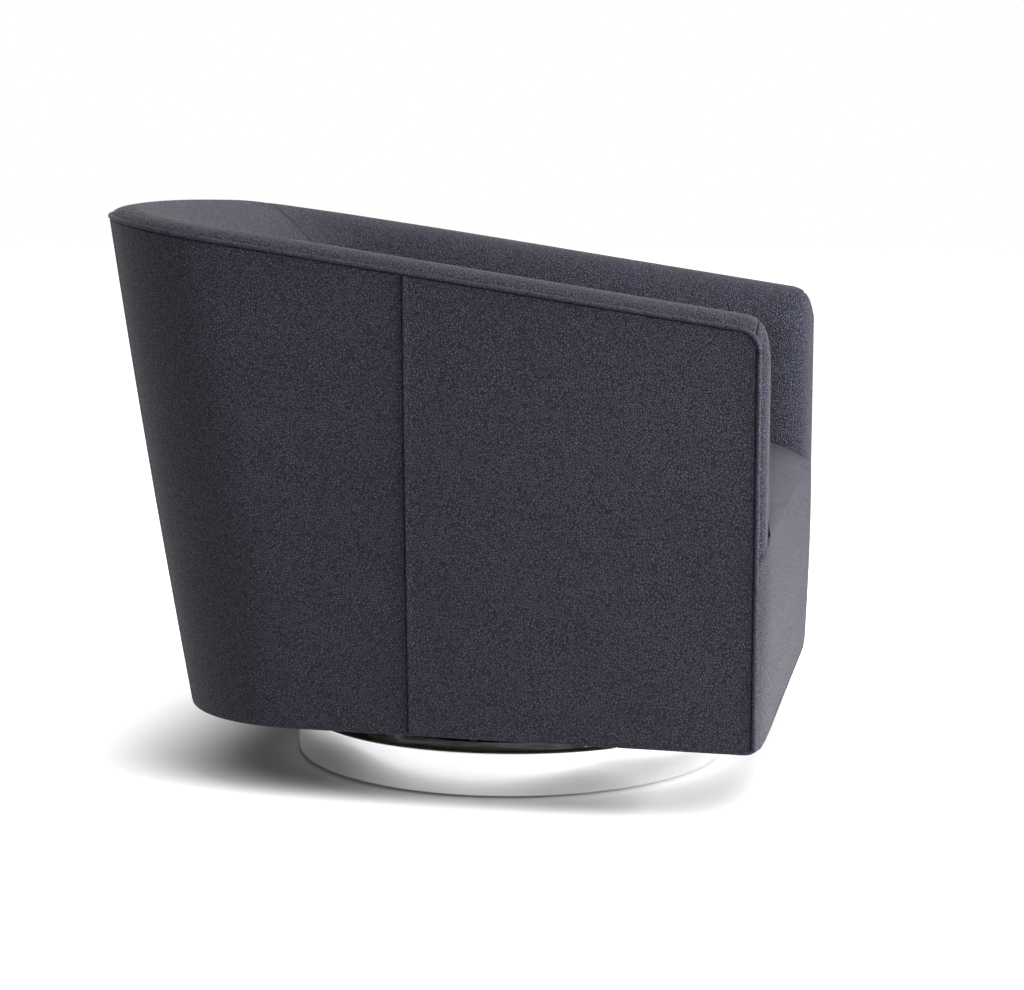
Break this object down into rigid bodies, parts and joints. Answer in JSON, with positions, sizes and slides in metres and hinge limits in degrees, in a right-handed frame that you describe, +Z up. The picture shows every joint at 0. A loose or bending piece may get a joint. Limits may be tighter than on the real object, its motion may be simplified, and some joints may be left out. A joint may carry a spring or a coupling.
{
  "type": "upholstered swivel chair",
  "caption": "Barrel armchair in dark pebbled leather, with one sweeping padded rim for arms and back, on a low polished round drum that swivels.",
  "frame": {"origin": "where the swivel axis meets the floor, in the middle of the round drum", "axes": "+Z is up, the sitter faces -Y, and +X is the chair's left-hand side as the sitter sees it"},
  "size_m": [0.752, 0.9131, 0.7635],
  "materials": {
    "navy_leather": "pebbled grain, satin",
    "polished_steel": "polished",
    "bearing_steel": "ground",
    "zinc_steel": "zinc plated",
    "black_steel": "satin black",
    "black_plastic": "matt",
    "black_board": "black stain",
    "timber": "sawn",
    "fibreboard": "smooth",
    "foam": "open cell",
    "webbing": "woven",
    "black_cloth": "thin cloth"
  },
  "bodies": {
    "standing_base": {"base_drum": "polished_steel", "drum_top_ring": "polished_steel", "base_board": "black_board", "glide_blocks": "timber", "floor_glides": "black_plastic", "base_screws": "zinc_steel", "swivel_lower_plate": "black_steel", "lower_plate_bolts": "zinc_steel", "pivot_pin": "zinc_steel"},
    "ball_ring": {"ball_cage": "zinc_steel", "swivel_balls": "bearing_steel"},
    "seat_shell": {"swivel_upper_plate": "zinc_steel", "upper_plate_bolts": "zinc_steel", "swivel_board": "timber", "swivel_bearers": "timber", "front_rail": "timber", "left_side_rail": "timber", "right_side_rail": "timber", "rear_rail": "timber", "corner_blocks": "timber", "left_front_post": "timber", "right_front_post": "timber", "left_arm_posts": "timber", "right_arm_posts": "timber", "back_posts": "timber", "left_top_rail": "timber", "right_top_rail": "timber", "back_top_rail": "timber", "seat_front_rail": "timber", "seat_rear_rail": "timber", "seat_springs": "zinc_steel", "spring_clips": "black_steel", "back_webbing": "webbing", "left_side_board": "fibreboard", "right_side_board": "fibreboard", "back_board": "fibreboard", "left_arm_foam": "foam", "right_arm_foam": "foam", "back_foam": "foam", "seat_foam": "foam", "apron_foam": "foam", "left_arm_front_foam": "foam", "right_arm_front_foam": "foam", "left_side_front_leather": "navy_leather", "left_side_rear_leather": "navy_leather", "right_side_front_leather": "navy_leather", "right_side_rear_leather": "navy_leather", "outside_back_leather": "navy_leather", "left_inside_arm_leather": "navy_leather", "right_inside_arm_leather": "navy_leather", "inside_back_leather": "navy_leather", "left_arm_front_leather": "navy_leather", "right_arm_front_leather": "navy_leather", "seat_leather": "navy_leather", "top_welt": "navy_leather", "hem_roll": "navy_leather", "dust_cover": "black_cloth"}
  },
  "joints": [
    {"name": "swivel", "type": "hinge", "parent": "standing_base", "child": "seat_shell", "pos_m": [0, 0, 0.0785], "axis": [0, 0, 1], "continuous": true},
    {"name": "ball_track", "type": "hinge", "parent": "standing_base", "child": "ball_ring", "pos_m": [0, 0, 0.0785], "axis": [0, 0, 1], "continuous": true}
  ],
  "couplings": [
    {"joint": "ball_track", "follows": "swivel", "ratio": 0.5}
  ]
}
